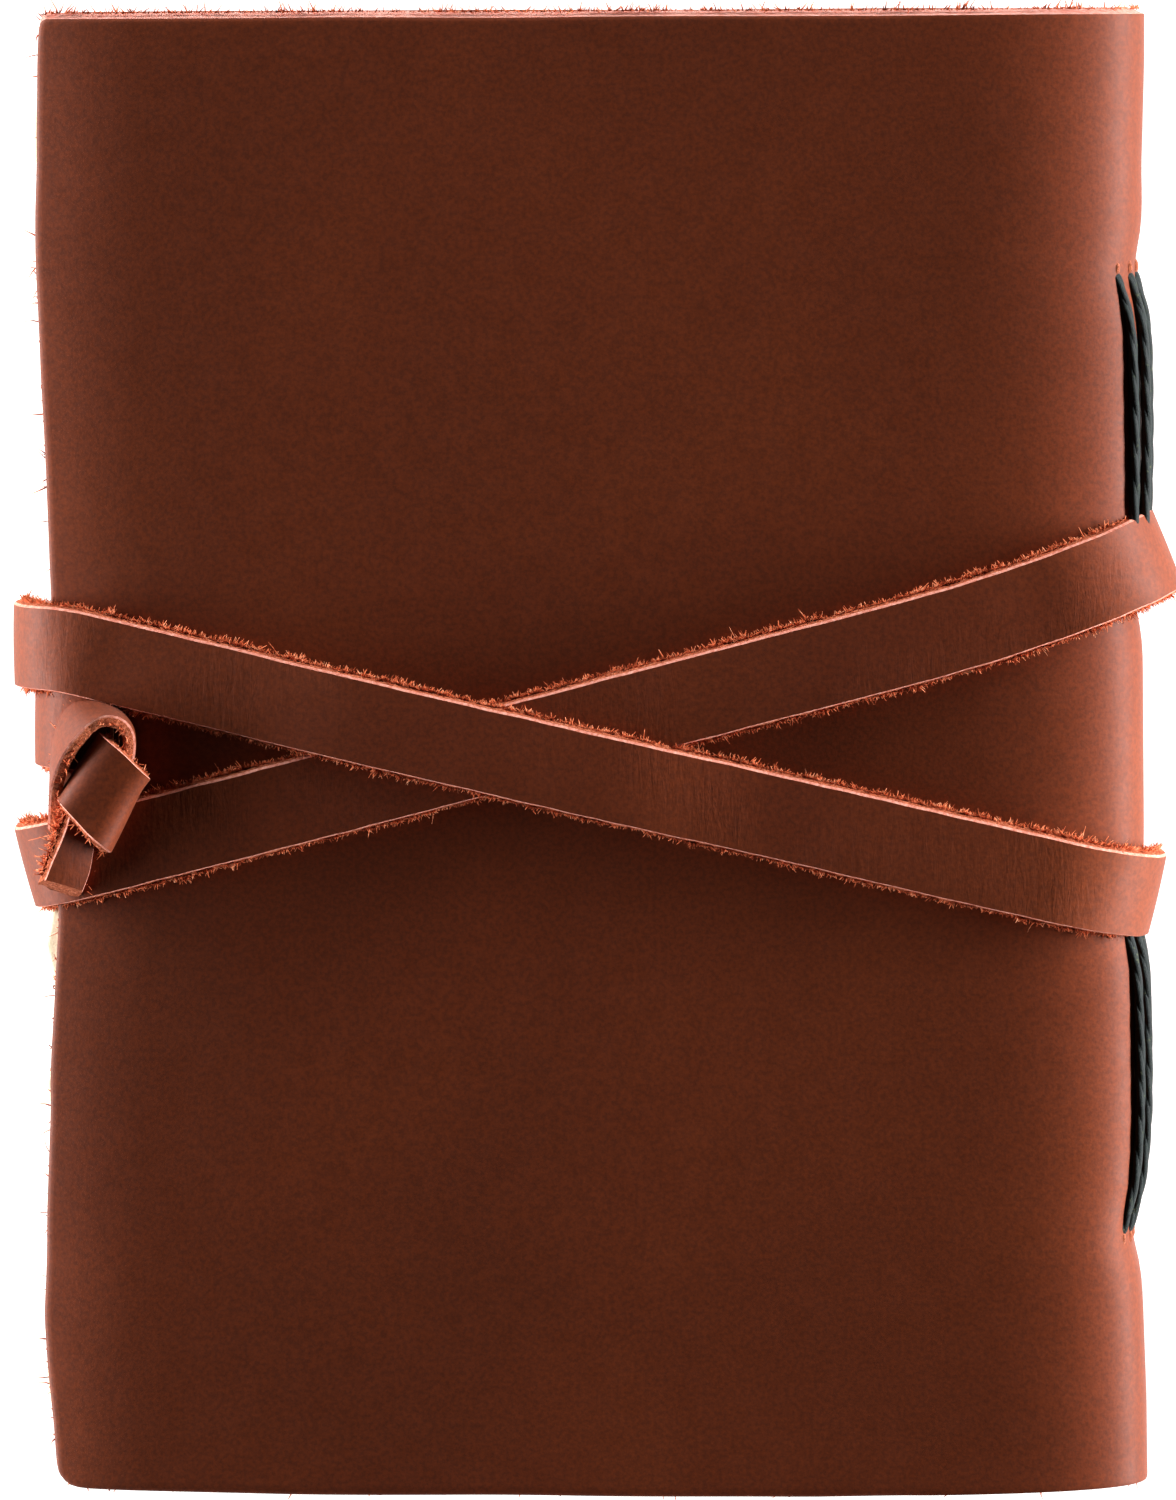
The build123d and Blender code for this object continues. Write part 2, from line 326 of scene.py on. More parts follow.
def rim_leather():
    """The pale line where the knife broke the grain."""
    n = Nodes("leather_rim")
    fibres = n.noise(1.7, 5.0, 0.7)
    dark, middle, pale = srgb(206, 110, 86), srgb(238, 152, 130), srgb(252, 184, 164)
    colour = n.ramp(fibres, [(0.34, dark), (0.5, middle), (0.66, pale)])
    return n.finish(colour, 0.7, n.bump(fibres, 0.0002, 0.6), Specular_IOR_Level=0.3)


def head_leather():
    """The cut edge at the head, bleached pale pink, with fine fibres along it."""
    n = Nodes("leather_head_edge")
    fibres = n.noise(1.0, 6.0, 0.8, vector=n.stretch((0.9, 3.0, 3.0)))
    dark, middle, pale = srgb(206, 112, 90), srgb(246, 172, 154), srgb(255, 214, 204)
    colour = n.ramp(fibres, [(0.3, dark), (0.5, middle), (0.7, pale)])
    return n.finish(colour, 0.9, n.bump(fibres, 0.0004, 0.8), Specular_IOR_Level=0.2)


def fuzz_material():
    """Loose fibres pulled out of the cut edges."""
    n = Nodes("leather_fibres")
    tone = n.noise(1.1, 2.0)
    dark, middle, pale = srgb(158, 62, 30), srgb(224, 112, 68), srgb(250, 164, 122)
    colour = n.ramp(tone, [(0.35, dark), (0.52, middle), (0.68, pale)])
    return n.finish(colour, 0.85, Specular_IOR_Level=0.2)


def rag_paper():
    """Cream handmade paper with soft lumps and short fibres."""
    n = Nodes("rag_paper")
    pulp = n.noise(0.5, 6.0, 0.7)
    fibres = n.noise(2.0, 5.0, 0.75, vector=n.stretch((0.45, 1.6, 1.0)))
    shade, cream, pale = srgb(226, 213, 180), srgb(243, 233, 206), srgb(250, 243, 222)
    colour = n.ramp(pulp, [(0.3, shade), (0.6, cream), (0.8, pale)])
    flecks = n.ramp(fibres, [(0.30, 0.86), (0.36, 1.0)])
    colour = n.blend(1.0, colour, flecks, "MULTIPLY")
    height = n.math("ADD", pulp, n.math("MULTIPLY", fibres, 0.5))
    return n.finish(colour, 0.93, n.bump(height, 0.00025, 0.7), Specular_IOR_Level=0.2)


def waxed_thread():
    """Green-black waxed cord with dull olive flecks of wax."""
    n = Nodes("waxed_thread")
    wax = n.noise(1.3, 5.0, 0.7)
    colour = n.ramp(wax, [(0.45, srgb(5, 17, 18)), (0.6, srgb(13, 30, 27)), (0.70, srgb(84, 86, 56))])
    gloss = n.ramp(wax, [(0.4, 0.5), (0.7, 0.7)])
    return n.finish(colour, gloss, n.bump(n.noise(4.0, 4.0, 0.7), 0.0002, 0.6), Specular_IOR_Level=0.25)


def floor_white():
    """A lit white table."""
    n = Nodes("floor_white")
    return n.finish(
        (0.9, 0.9, 0.9), 0.9, Emission_Color=(1, 1, 1, 1), Emission_Strength=0.95, Specular_IOR_Level=0.1
    )


COVER_GRAIN = grain_leather("cover_grain", srgb(114, 45, 9), srgb(120, 48, 11), srgb(126, 52, 14))
STRAP_GRAIN = grain_leather(
    "strap_grain", srgb(118, 47, 13), srgb(124, 51, 15), srgb(131, 56, 19), creases=0.3
)
FLESH_SIDE = flesh_leather()
CUT_EDGE = edge_leather()
RIM_LINE = rim_leather()
HEAD_EDGE = head_leather()
FIBRES = fuzz_material()
PAPER = rag_paper()
THREAD = waxed_thread()
COVER_SET = (COVER_GRAIN, FLESH_SIDE, CUT_EDGE, HEAD_EDGE)
STRAP_SET = (STRAP_GRAIN, FLESH_SIDE, CUT_EDGE, RIM_LINE)


# ---------------- small builders


def tube(points, radius, sides=6, taper=None):
    """Vertices and faces of a closed tube along points; taper gives each ring's share of radius."""
    points = np.asarray(points, float)
    tangents = np.gradient(points, axis=0)
    verts, faces = [], []
    reference = np.array((0.123, 0.456, 0.881))
    for i, (point, tangent) in enumerate(zip(points, tangents)):
        tangent = unit(tangent)
        across = unit(np.cross(tangent, reference))
        reference = np.cross(across, tangent)
        size = radius * (1 if taper is None else taper[i])
        for k in range(sides):
            angle = 2 * math.pi * k / sides
            verts.append(point + size * (math.cos(angle) * across + math.sin(angle) * reference))
    for i in range(len(points) - 1):
        for k in range(sides):
            a, b = i * sides + k, i * sides + (k + 1) % sides
            faces.append((a, b, b + sides, a + sides))
    faces.append(tuple(reversed(range(sides))))
    last = (len(points) - 1) * sides
    faces.append(tuple(range(last, last + sides)))
    return verts, faces


def gather(parts):
    """One list of vertices and one of faces from several (vertices, faces)."""
    verts, faces = [], []
    for part_verts, part_faces in parts:
        base = len(verts)
        verts.extend(part_verts)
        faces.extend(tuple(base + i for i in face) for face in part_faces)
    return verts, faces


def resample(points, step):
    """Points evenly spaced along a polyline, with any further columns carried along."""
    points = np.asarray(points, float)
    lengths = np.r_[0, np.cumsum(np.linalg.norm(np.diff(points[:, :3], axis=0), axis=1))]
    count = max(2, int(round(lengths[-1] / step)) + 1)
    marks = np.linspace(0, lengths[-1], count)
    return np.column_stack([np.interp(marks, lengths, column) for column in points.T])


def soften(points, passes):
    """Rounds a polyline by averaging neighbours; its ends stay."""
    points = np.array(points, float)
    for _ in range(passes):
        inner = (points[:-2] + 2 * points[1:-1] + points[2:]) / 4
        points[1:-1] = inner
    return points


FIBRE_RINGS = ((0, 1.0), (0.5, 0.85), (1.0, 0.35))  # (share of the length, share of the radius)
FIBRE_CORNERS = (0.0, 2.0944, 4.1888)  # a fibre's section is a triangle
SHORTEST_FIBRE = 0.17
FIBRE_LIFT = 0.35
STRAY_CHANCE, STRAY_LENGTH = 0.008, 1.4


def fuzz(roots, seed, per_mm, longest):
    """Short loose fibres standing out of an edge; roots are (point, outward) in order."""
    dice = np.random.RandomState(seed)
    starts, outs, alongs, lengths = [], [], [], []
    for (point, outward), (following, _) in zip(roots[:-1], roots[1:]):
        point, following, outward = np.array(point), np.array(following), unit(outward)
        span = np.linalg.norm(following - point)
        clump = 1.1 + 0.5 * rough(*point, 0.13, 3.1) + 0.9 * rough(*point, 0.7, 8.2)
        number = dice.poisson(per_mm * span * max(0.15, clump))
        for _ in range(number):
            starts.append(point + (following - point) * dice.rand() + outward * 0.1)
            outs.append(outward)
            alongs.append(unit(following - point))
            tall = dice.rand() ** 1.6 * max(0.25, clump)
            stray = (dice.rand() < STRAY_CHANCE) * STRAY_LENGTH
            lengths.append(SHORTEST_FIBRE + longest * tall + stray * longest)
    if not starts:
        return [], []
    starts, outs, alongs = np.array(starts), np.array(outs), np.array(alongs)
    count = len(starts)
    lean = outs + alongs * dice.uniform(-1.0, 1.0, (count, 1)) + dice.uniform(-0.35, 0.35, (count, 3))
    lean[:, 2] += FIBRE_LIFT * dice.rand(count)
    lean /= np.linalg.norm(lean, axis=1, keepdims=True)
    curl = dice.uniform(-1.5, 1.5, (count, 3))
    side = np.cross(lean, dice.uniform(-1, 1, (count, 3)))
    side /= np.linalg.norm(side, axis=1, keepdims=True)
    other = np.cross(lean, side)
    radius = dice.uniform(0.07, 0.15, count)
    lengths = np.array(lengths)
    rings = []
    for t, taper in FIBRE_RINGS:
        centre = starts + (lean * t + curl * t * t) * lengths[:, None]
        corners = []
        for angle in FIBRE_CORNERS:
            reach = (radius * taper)[:, None]
            corners.append(centre + reach * (math.cos(angle) * side + math.sin(angle) * other))
        rings.append(np.stack(corners, 1))
    verts = np.stack(rings, 1).reshape(-1, 3)
    faces = []
    for k in range(count):
        base = 9 * k
        faces.append((base + 2, base + 1, base))
        faces.append((base + 6, base + 7, base + 8))
        for ring in (0, 3):
            for i in range(3):
                a, b = base + ring + i, base + ring + (i + 1) % 3
                faces.append((a, b, b + 3, a + 3))
    return list(verts), faces


# ---------------- cover


def hide_profile():
    """Rows of the hide from the front fore-edge, round the spine, to the back fore-edge."""
    shares = [0, 0.0018, 0.004, 0.009, 0.016, 0.026, 0.04, 0.06]
    shares += list(np.linspace(0.09, 1.0, 38))
    rows = [("flat", share) for share in shares]
    angles = [89, 87, 84, 81, 78, 75] + list(range(71, 10, -4)) + [7.5, 4.5, 2.4]
    rows += [("bend", math.radians(angle)) for angle in angles]
    rows.append(("fold", 1.0))
    rows = [(kind, value, 1) for kind, value in rows]
    return rows + [(kind, value, -1) for kind, value, _ in reversed(rows)]


HEAD_CORNER, TAIL_CORNER = 1.2, 3.0  # rounding of the corners at the fore-edge
HEAD_SETBACK = 0.55
HEAD_EDGE_Y = 100.2  # the cut edge beyond this line is the head's
FORE_OUTLINE = (  # (y, x) along the fore-edge: pressed in by the strap, loose beyond it
    (-104, -74.8), (-92, -75.6), (-78, -76.6), (-60, -75.8), (-45, -75.4), (-22, -74.0), (0, -74.1),
    (22, -74.6), (40, -75.1), (52, -75.6), (68, -76.2), (85, -75.9), (104, -75.3),
)
TAIL_OUTLINE = (  # (x, how far the tail edge stands out)
    (-76, -0.1), (-70, 0.3), (-43, 0.6), (0, 0.55), (30, 0.4), (48, 0.0), (64, -0.6), (75, -1.0),
)
SPINE_OUTLINE = (  # (y, how far the spine lies in from its even line)
    (-101, -0.8), (-90, -0.7), (-78, -0.2), (-62, 0.5), (-50, 0), (60, 0), (80, 0.5), (95, 0.1),
)


def along(outline, at):
    """The value of an outline at one place on it."""
    marks, values = zip(*outline)
    return float(np.interp(at, marks, values))


def fore_edge(y):
    """Where the cover's fore-edge lies."""
    return along(FORE_OUTLINE, y) + 0.25 * rough(0, y, 0, 0.09, 4.0)


def end_reach(x, y):
    """How far the cover's head or tail edge stands past its middle line."""
    return -HEAD_SETBACK if y > 0 else along(TAIL_OUTLINE, x)


def spine_pull(y):
    """How far in the spine lies: drawn by the stitches, and swollen a little under the strap's turns."""
    pulled = sum(math.exp(-(((y - s) / 5.0) ** 2)) for s in STATIONS)
    swell = sum(math.exp(-(((y - s) / 17) ** 2)) for s in (44, -44))
    return 1.2 * pulled - 0.2 * swell + along(SPINE_OUTLINE, y)


def hide_point(kind, value, side, y, inner):
    """One point of the hide's outer or inner surface."""
    if kind == "flat":
        edge = fore_edge(y) if side > 0 else fore_edge(y * 0.9 + 6) + 0.3
        x = mix(edge, SPINE_START, value)
        z = COVER_TOP - (LEATHER if inner else 0)
        if not inner:
            z -= 0.35 * max(0.0, 1 - (x - edge) / 0.6) ** 2
        z *= pinch(x, y)
        soft_edge = smooth((value - 0.02) / 0.2)
        swells = 0.30 * rough(x, y, side * 40, 0.017, 6.0)
        swells += 0.08 * rough(x, y, side * 40, 0.06, 9.0)
        z += swells * soft_edge
        return np.array((x, y, side * z))
    if kind == "bend":
        power = spine_power(y)
        cos, sin = math.cos(value), math.sin(value)
        x_share, z_share = cos ** (2 / power), sin ** (2 / power)
        out = unit((x_share ** (power - 1) / SPINE_REACH, 0, z_share ** (power - 1) / COVER_TOP))
        point = np.array((SPINE_START + SPINE_REACH * x_share, y, COVER_TOP * z_share))
        if inner:
            point -= out * LEATHER
        facing = out[0]
        fade = smooth(x_share / 0.5)
        point[2] += (1 - fade) * 0.30 * rough(point[0], y, side * 40, 0.017, 6.0)
    else:
        point = np.array((HALF_WIDTH - (LEATHER if inner else 0), y, 0.25 if inner else 1.3))
        facing = 1.0
    point[0] -= facing * (spine_pull(y) - 0.25 * rough(0, y, point[2], 0.03, 2.0))
    point[2] *= side
    return point


def build_hide():
    profile = hide_profile()
    ends = [0, 0.25, 0.6, 1.3, 2.4]
    middle = list(np.linspace(-HALF_LENGTH + 4.2, HALF_LENGTH - 4.2, 98))
    ys = [-HALF_LENGTH + e for e in ends] + middle + [HALF_LENGTH - e for e in reversed(ends)]
    outer, inner = [], []
    for kind, value, side in profile:
        for row, y in enumerate(ys):
            far = min(row, len(ys) - 1 - row)
            for surface, store in ((False, outer), (True, inner)):
                point = hide_point(kind, value, side, y, surface)
                gap = point[0] - fore_edge(y)
                radius = TAIL_CORNER if y < 0 else HEAD_CORNER
                if kind == "flat" and gap < radius:
                    cut = radius - math.sqrt(max(0.0, radius**2 - (radius - gap) ** 2))
                    share = max(0.0, 1 - far / 8)
                    point[1] -= math.copysign(cut * share, y)
                reach = end_reach(point[0], y) + 0.15 * rough(point[0], 0, 30 * side, 0.04, 5.0)
                point[1] += reach * math.copysign(smooth(1 - far / 10), y)
                if surface and y > 0 and far < 6:
                    point[1] += 0.85 * (1 - far / 6)
                if not surface and far < 3:
                    point[2] -= side * (0.0, 0.08, 0.3)[2 - far] * (1 if kind == "flat" else 0.4)
                store.append(point)
    count, rows = len(ys), len(profile)
    verts, faces, places = list(outer) + list(inner), [], []
    offset = len(outer)

    def quad(a, b, c, d, what):
        faces.append((a, b, c, d))
        places.append(what)

    for i in range(rows - 1):
        for j in range(count - 1):
            a, b = i * count + j, i * count + j + 1
            c, d = a + count, b + count
            quad(a, c, d, b, GRAIN)
            quad(a + offset, b + offset, d + offset, c + offset, FLESH)
    border = list(range(count))
    border += [i * count + count - 1 for i in range(1, rows)]
    border += [(rows - 1) * count + j for j in range(count - 2, -1, -1)]
    border += [i * count for i in range(rows - 2, 0, -1)]
    rings = []
    for step in (1 / 3, 2 / 3):
        ring = []
        for k, index in enumerate(border):
            low, high = verts[index], verts[index + offset]
            before, after = verts[border[k - 1]], verts[border[(k + 1) % len(border)]]
            out = unit(np.cross(after - before, high - low))
            bulge = 0.10 + 0.16 * rough(*low, 1.3, 7.0 + step)
            ring.append(len(verts))
            verts.append(mix(low, high, step) - out * bulge)
        rings.append(ring)
    chain = [border] + rings + [[i + offset for i in border]]
    for near, far_ring in zip(chain[:-1], chain[1:]):
        for k in range(len(border)):
            k2 = (k + 1) % len(border)
            quad(near[k], near[k2], far_ring[k2], far_ring[k], EDGE)
    hide = make_mesh("cover_hide", verts, faces, COVER_SET, places)
    for k, face in enumerate(faces):
        if places[k] == EDGE and min(verts[i][1] for i in face) > HEAD_EDGE_Y:
            hide.data.polygons[k].material_index = RIM
    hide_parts("cover_front_half", "cover_back_half")
    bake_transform(hide)
    last = [i * count + count - 1 for i in range(rows // 2)]
    head = [((verts[i] + verts[i + offset]) / 2 + np.array((0, 0.2, 0)), (0, 1, 0.1)) for i in last]
    fore = [((verts[i] + verts[i + offset]) / 2, (-1, 0, -0.2)) for i in range(count)]
    tail = [((verts[i * count] + verts[i * count + offset]) / 2, (0, -1, -0.2)) for i in range(rows // 2)]
    return head, fore, tail


def build_cover_fibres(head, fore, tail):
    parts = [
        fuzz(head, 11, 7.0, 0.45),
        fuzz(fore, 12, 0.5, 0.7),
        fuzz(tail, 13, 0.3, 0.4),
    ]
    verts, faces = gather(parts)
    fibres = make_mesh("cover_fibres", verts, faces, (FIBRES,))
    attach(fibres, "front_half")


# ---------------- pages


PAPER_HALF = 0.13  # half a leaf's thickness
PAGE_MARGIN = 1.7  # between a page's head or tail and the cover's
PAGE_EDGE = -74.5  # where an outermost leaf ends at the fore-edge
PAGE_STEP = 0.22  # how much shorter each leaf inside it is
LOOSE_SIGNATURES = 2  # these have the leaves that stand out
PEEKS = (  # where they stand out past the cover: y, half length, how far
    (85, 9, 2.1),
    (-27, 5, 1.2),
    (-46, 4, 1.4),
    (-86, 7, 2.0),
)


def deckle(y, leaf):
    """The torn fore-edge of one leaf."""
    slow = 0.55 * rough(leaf * 3.7, y, 0, 0.05, leaf)
    quick = 0.35 * rough(leaf, y, 5, 0.22, 3 + leaf) + 0.22 * rough(leaf, y, 9, 0.8, leaf)
    return slow + quick


def build_signature(number):
    """Four nested folded sheets; number counts from the front cover."""
    low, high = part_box(f"signature_{number}_folio_1")
    centre_z = ((low[2] + high[2]) / 2 - MIDDLE[2]) / MM
    half_height = (high[2] - low[2]) / 2 / MM
    fold_x = (high[0] - MIDDLE[0]) / MM - half_height
    pitch = half_height / FOLIOS
    page_half = HALF_LENGTH - PAGE_MARGIN
    ys = np.linspace(-page_half, page_half, 104)
    reach = [0, 0.004, 0.012, 0.03, 0.08, 0.2, 0.4, 0.6, 0.78, 0.9, 0.96, 1.0]
    parts = []
    for depth in range(FOLIOS):
        offset = pitch * (depth + 0.5)
        leaf_id = number * 10 + depth
        rows = [(1, share) for share in reach]
        rows += [("turn", angle) for angle in np.linspace(90, -90, 7)[1:-1]]
        rows += [(-1, share) for share in reversed(reach)]
        outer, inner = [], []
        for kind, value in rows:
            for j, y in enumerate(ys):
                end = min(j, len(ys) - 1 - j)
                trim = 0.5 * rough(leaf_id, value * 3 if kind != "turn" else 3, y, 0.9, 2.0) if end < 2 else 0
                if kind == "turn":
                    angle = math.radians(value)
                    away = np.array((math.cos(angle), 0, math.sin(angle)))
                    base = np.array((fold_x, y + math.copysign(trim, y) * 0.4, centre_z))
                    point_out = base + away * (offset + PAPER_HALF)
                    point_in = base + away * (offset - PAPER_HALF)
                else:
                    edge = PAGE_EDGE + PAGE_STEP * (FOLIOS - 1 - depth) + deckle(y, leaf_id + 0.5 * kind)
                    if number <= LOOSE_SIGNATURES:
                        edge -= sum(far * math.exp(-(((y - at) / half) ** 2)) for at, half, far in PEEKS)
                    x = mix(edge, fold_x, value)
                    thin = PAPER_HALF * (0.35 + 0.65 * smooth((x - edge) / 1.6))
                    wave = 0.10 * rough(x, y, number, 0.03, 1.5)
                    wave *= smooth((x - edge + 3) / 20) * smooth((fold_x - x) / 12)
                    z = centre_z + kind * offset + wave
                    keep = pinch(x, y)
                    shift = y + math.copysign(trim, y) * 0.5
                    point_out = np.array((x, shift, (z + kind * thin) * keep))
                    point_in = np.array((x, shift, (z - kind * thin) * keep))
                outer.append(point_out)
                inner.append(point_in)
        count, total = len(ys), len(rows)
        verts, faces, base = outer + inner, [], len(outer)
        for i in range(total - 1):
            for j in range(count - 1):
                a, b = i * count + j, i * count + j + 1
                c, d = a + count, b + count
                faces.append((a, c, d, b))
                faces.append((a + base, b + base, d + base, c + base))
        for j in range(count - 1):
            faces.append((j, j + 1, j + 1 + base, j + base))
            k = (total - 1) * count + j
            faces.append((k, k + base, k + 1 + base, k + 1))
        for i in range(total - 1):
            k = i * count
            faces.append((k, k + base, k + count + base, k + count))
            k += count - 1
            faces.append((k, k + count, k + count + base, k + base))
        parts.append((verts, faces))
    verts, faces = gather(parts)
    leaves = make_mesh(f"signature_{number}_leaves", verts, faces, (PAPER,))
    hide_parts(*(f"signature_{number}_folio_{f}" for f in range(1, FOLIOS + 1)))
    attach(leaves, "front_half" if number <= SIGNATURES // 2 else "back_half")


# ---------------- sewing


# For the outermost, next and middle pair of threads:
DRAWN = (0.93, 1.08, 1.0)  # the outer stitches' height, as a share of their fold's
BOWS = (0.2, 0.2, -0.2)  # how far they stand off; the middle pair would touch when it opens
SEWN_IN = -0.9  # how deep a stitch's ends go into the hide
PLIES = 3
LAY = 15.0  # length of one turn of the plies
PLY_OFFSET, PLY_RADIUS = 0.34, 0.92  # as shares of the thread's radius
SLIT_RADIUS = 0.55
SLIT_FROM, SLIT_TO = -0.6, 2.0  # from its station, away from the stitch
SLIT_TAPER = (0.3, 0.7, 0.95, 1.0, 1.0, 0.9, 0.7, 0.45, 0.15)


def thread_pair(number):
    """Which pair a thread belongs to, from 0 for the outermost."""
    return min(number, SIGNATURES + 1 - number) - 1


def spine_surface(y, z):
    """How far out the hide's spine reaches at a height z, drawn in at the stitches."""
    power = spine_power(y)
    return SPINE_START + SPINE_REACH * (1 - (abs(z) / COVER_TOP) ** power) ** (1 / power) - spine_pull(y)


def build_slits(number):
    """The torn lips of the sewing slots, where the thread goes into the hide."""
    low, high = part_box(f"sewing_thread_{number}")
    z = ((low[2] + high[2]) / 2 - MIDDLE[2]) / MM * pinch(FOLDS_X, 0)
    z *= DRAWN[thread_pair(number)]
    parts = []
    for station, way in zip(STATIONS, (1, -1, 1, -1)):
        x = spine_surface(station, z)
        line = []
        for t in np.linspace(0, 1, len(SLIT_TAPER)):
            crown = 0.3 * math.sin(math.pi * t)
            line.append((x - 0.35 + crown, station + way * mix(SLIT_FROM, SLIT_TO, t), z))
        parts.append(tube(line, SLIT_RADIUS, 8, SLIT_TAPER))
    verts, faces = gather(parts)
    slits = make_mesh(f"slits_{number}", verts, faces, (FLESH_SIDE,))
    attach(slits, "front_half" if number <= SIGNATURES // 2 else "back_half")


def build_stitches(number):
    """Three-ply waxed cord: out through a station, along the spine, in at the next."""
    low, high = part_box(f"sewing_thread_{number}")
    radius = (high[2] - low[2]) / 2 / MM
    z = ((low[2] + high[2]) / 2 - MIDDLE[2]) / MM * pinch(FOLDS_X, 0)
    drawn = z * DRAWN[thread_pair(number)]
    inside = (low[0] - MIDDLE[0]) / MM + radius
    reach = (high[1] - MIDDLE[1]) / MM - radius
    bow = BOWS[thread_pair(number)]
    away = unit((1.0, 0, 0.35 * z / COVER_TOP))
    first, second, third, fourth = STATIONS

    def run(start, stop):
        """An outer stitch, tight into the hide at its ends and bowed out between."""
        points = []
        for t in np.linspace(0, 1, 40):
            y = mix(start, stop, t)
            lift = mix(SEWN_IN, bow, math.sin(math.pi * t) ** 0.4)
            points.append(np.array((spine_surface(y, drawn) + radius, y, drawn)) + away * lift)
        return points

    route = [(inside, reach, z), (inside, first, z)]
    route += run(first, second) + [(inside, second, z), (inside, third, z)]
    route += run(third, fourth) + [(inside, fourth, z), (inside, -reach, z)]
    line = soften(resample(route, 0.55), 3)
    lengths = np.r_[0, np.cumsum(np.linalg.norm(np.diff(line, axis=0), axis=1))]
    tangents = np.gradient(line, axis=0)
    reference = np.array((0.2, 0.1, 0.97))
    axes = []
    for tangent in tangents:
        tangent = unit(tangent)
        across = unit(np.cross(tangent, reference))
        reference = np.cross(across, tangent)
        axes.append((across, reference))
    parts = []
    for ply in range(PLIES):
        strand = []
        for point, length, (across, up) in zip(line, lengths, axes):
            angle = 2 * math.pi * (length / LAY + ply / PLIES)
            offset = PLY_OFFSET * radius
            strand.append(point + offset * (math.cos(angle) * across + math.sin(angle) * up))
        parts.append(tube(strand, PLY_RADIUS * radius, 8))
    verts, faces = gather(parts)
    body = "front_half" if number <= SIGNATURES // 2 else "back_half"
    thread = make_mesh(f"stitches_{number}", verts, faces, (THREAD,))
    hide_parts(f"sewing_thread_{number}")
    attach(thread, body)


# ---------------- strap

LOOP_X = -66.0  # the turns round the fore-edge begin here
SPINE_LOOP_X = 60.0  # and those round the spine here
CROSS_X = -15.0
FRONT, BACK = 1, -1


def line_over(x):
    """The upper of the two stretches that cross on the front."""
    return -1.85 - 0.2305 * max(x, -73)


def line_under(x):
    """The lower of them."""
    return 4.87 + 0.262 * x + 0.0021 * max(0.0, x - 41) ** 2


def line_middle(x):
    """The third turn, from the back to the knot."""
    return 4.0 - 0.02 * (x + 70)


def line_back_head(x):
    """The stretch under the back cover that lies nearer the head."""
    return mix(13.0, 24.8, (x + 70) / 135)


def line_back_tail(x):
    """The one that lies nearer the tail."""
    return mix(3.8, -20.5, (x + 70) / 135)


def line_first_end(x):
    """The strap's first end, loose under the journal."""
    return -19.0 - 0.1 * (x + 70)


def cover_height(x, y):
    """The strap's middle when it lies on a cover."""
    top = spine_height(x, y)[0] if x > SPINE_START else COVER_TOP * pinch(x, y)
    return top + STRAP / 2 + 0.12


def flat_run(line, start, stop, side, climb=0.0):
    """Points with outward directions on a cover, climbing over the other run where they cross."""
    points = []
    for x in np.linspace(start, stop, max(4, int(abs(stop - start) / 3))):
        y = line(x)
        z = cover_height(x, y)
        if climb:
            z += climb * smooth(1.62 - abs(x - CROSS_X) / 24)
        points.append((x, y, side * z, 0, 0, side))
    return points


def turn(side, front_line, back_line, start_side, reach, power):
    """A turn round the spine (side 1) or the fore-edge (side -1), starting on a cover."""
    begin = SPINE_LOOP_X if side > 0 else LOOP_X
    points = []
    for angle in np.linspace(86, -86, 33):
        bend = math.radians(angle)
        cos, sin = abs(math.cos(bend)), math.sin(bend)
        level = math.copysign(abs(sin) ** (2 / power), sin)
        x = begin + side * reach * cos ** (2 / power)
        share = smooth((0.1 - sin) / 1.1)
        front_y, back_y = front_line(x), back_line(x)
        y = mix(front_y, back_y, share)
        height = mix(cover_height(begin, front_line(begin)), cover_height(begin, back_line(begin)), share)
        ahead = np.array((1.0, mix(front_line(x + 1) - front_y, back_line(x + 1) - back_y, share), 0))
        ahead = unit(ahead) * side
        gx = (abs(x - begin) / reach) ** (power - 1) / reach
        gz = abs(level) ** (power - 1) / height
        out = unit(ahead * gx + np.array((0, 0, math.copysign(gz, sin))))
        points.append((x, y, height * level, *out))
    return points if start_side == FRONT else points[::-1]


def strap_route():
    route = flat_run(line_first_end, -18, LOOP_X, BACK)
    route += turn(-1, line_under, line_first_end, BACK, 13.0, 2.9)
    route += flat_run(line_under, LOOP_X, SPINE_LOOP_X, FRONT)
    route += turn(1, line_under, line_back_head, FRONT, 17.4, 2.5)
    route += flat_run(line_back_head, SPINE_LOOP_X, LOOP_X, BACK)
    route += turn(-1, line_over, line_back_head, BACK, 14.2, 2.6)
    route += flat_run(line_over, LOOP_X, SPINE_LOOP_X, FRONT, climb=STRAP + 0.15)
    route += turn(1, line_over, line_back_tail, FRONT, 16.2, 2.5)
    route += flat_run(line_back_tail, SPINE_LOOP_X, LOOP_X, BACK)
    route += turn(-1, line_middle, line_back_tail, BACK, 11.2, 2.9)
    route += [(x, line_middle(x), cover_height(x, 3) + lift, 0, 0, 1) for x, lift in ((-68, 0.1), (-66, 0.2))]
    return route


def section(half, thickness, rim=0.36):
    """The strap's cross-section: (across, out, what) round it, crowned on the grain side."""
    points = []
    for s in np.linspace(-1, 1, 11):
        face = half - rim * (0.85 if s < 0 else 0.45)
        points.append((s * face, thickness / 2 + 0.10 * (1 - s * s), GRAIN))
    points.append((half, thickness / 2 - 0.30, RIM))
    points.append((half + 0.10, thickness * 0.08, EDGE))
    points.append((half + 0.16, -thickness * 0.25, EDGE))
    for s in np.linspace(1, -1, 7):
        points.append((s * half, -thickness / 2, FLESH))
    points.append((-half - 0.34, -thickness * 0.25, EDGE))
    points.append((-half - 0.18, thickness * 0.08, EDGE))
    points.append((-half, thickness / 2 - 0.30, RIM))
    return points


